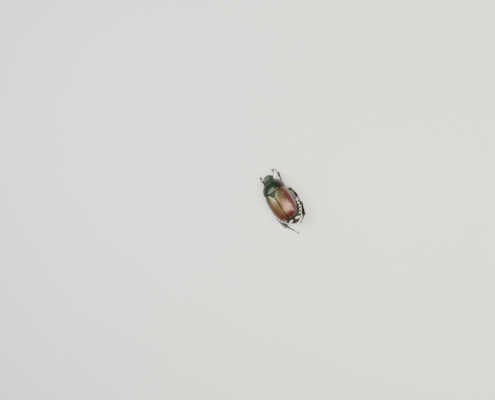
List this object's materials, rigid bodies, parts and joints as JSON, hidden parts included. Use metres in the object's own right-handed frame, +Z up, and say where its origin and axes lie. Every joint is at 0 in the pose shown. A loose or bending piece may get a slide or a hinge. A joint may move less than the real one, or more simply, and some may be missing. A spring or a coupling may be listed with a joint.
{
  "type": "japanese beetle",
  "caption": "Life-size scarab leaf beetle standing on its legs, with a metallic green front, copper wing cases and white hair tufts along the belly.",
  "frame": {"origin": "middle of the underside of the whole insect's box, on the surface that it stands on", "axes": "-Y is the way the insect faces, +Z is up through its back, +X is its left"},
  "size_m": [0.0071, 0.0147, 0.0052],
  "materials": {
    "green_cuticle": "glossy dark green to bronze insect cuticle with a metallic sheen",
    "copper_wing_case": "glossy copper-brown insect cuticle with a green metallic edge",
    "leg_cuticle": "dark bronze insect cuticle",
    "brown_horn": "satin brown horn",
    "black_eye": "glossy black insect eye",
    "white_hair": "dense short white hair"
  },
  "bodies": {
    "root": {"head": "green_cuticle", "prothorax": "green_cuticle", "scutellum": "green_cuticle", "thorax": "green_cuticle", "abdomen": "green_cuticle", "mouthparts": "brown_horn", "elytron_left": "copper_wing_case", "elytron_right": "copper_wing_case", "eye_left": "black_eye", "eye_right": "black_eye", "antenna_left": "brown_horn", "antenna_right": "brown_horn", "foreleg_left": "leg_cuticle", "foreleg_right": "leg_cuticle", "midleg_left": "leg_cuticle", "midleg_right": "leg_cuticle", "hindleg_left": "leg_cuticle", "hindleg_right": "leg_cuticle"}
  },
  "joints": []
}
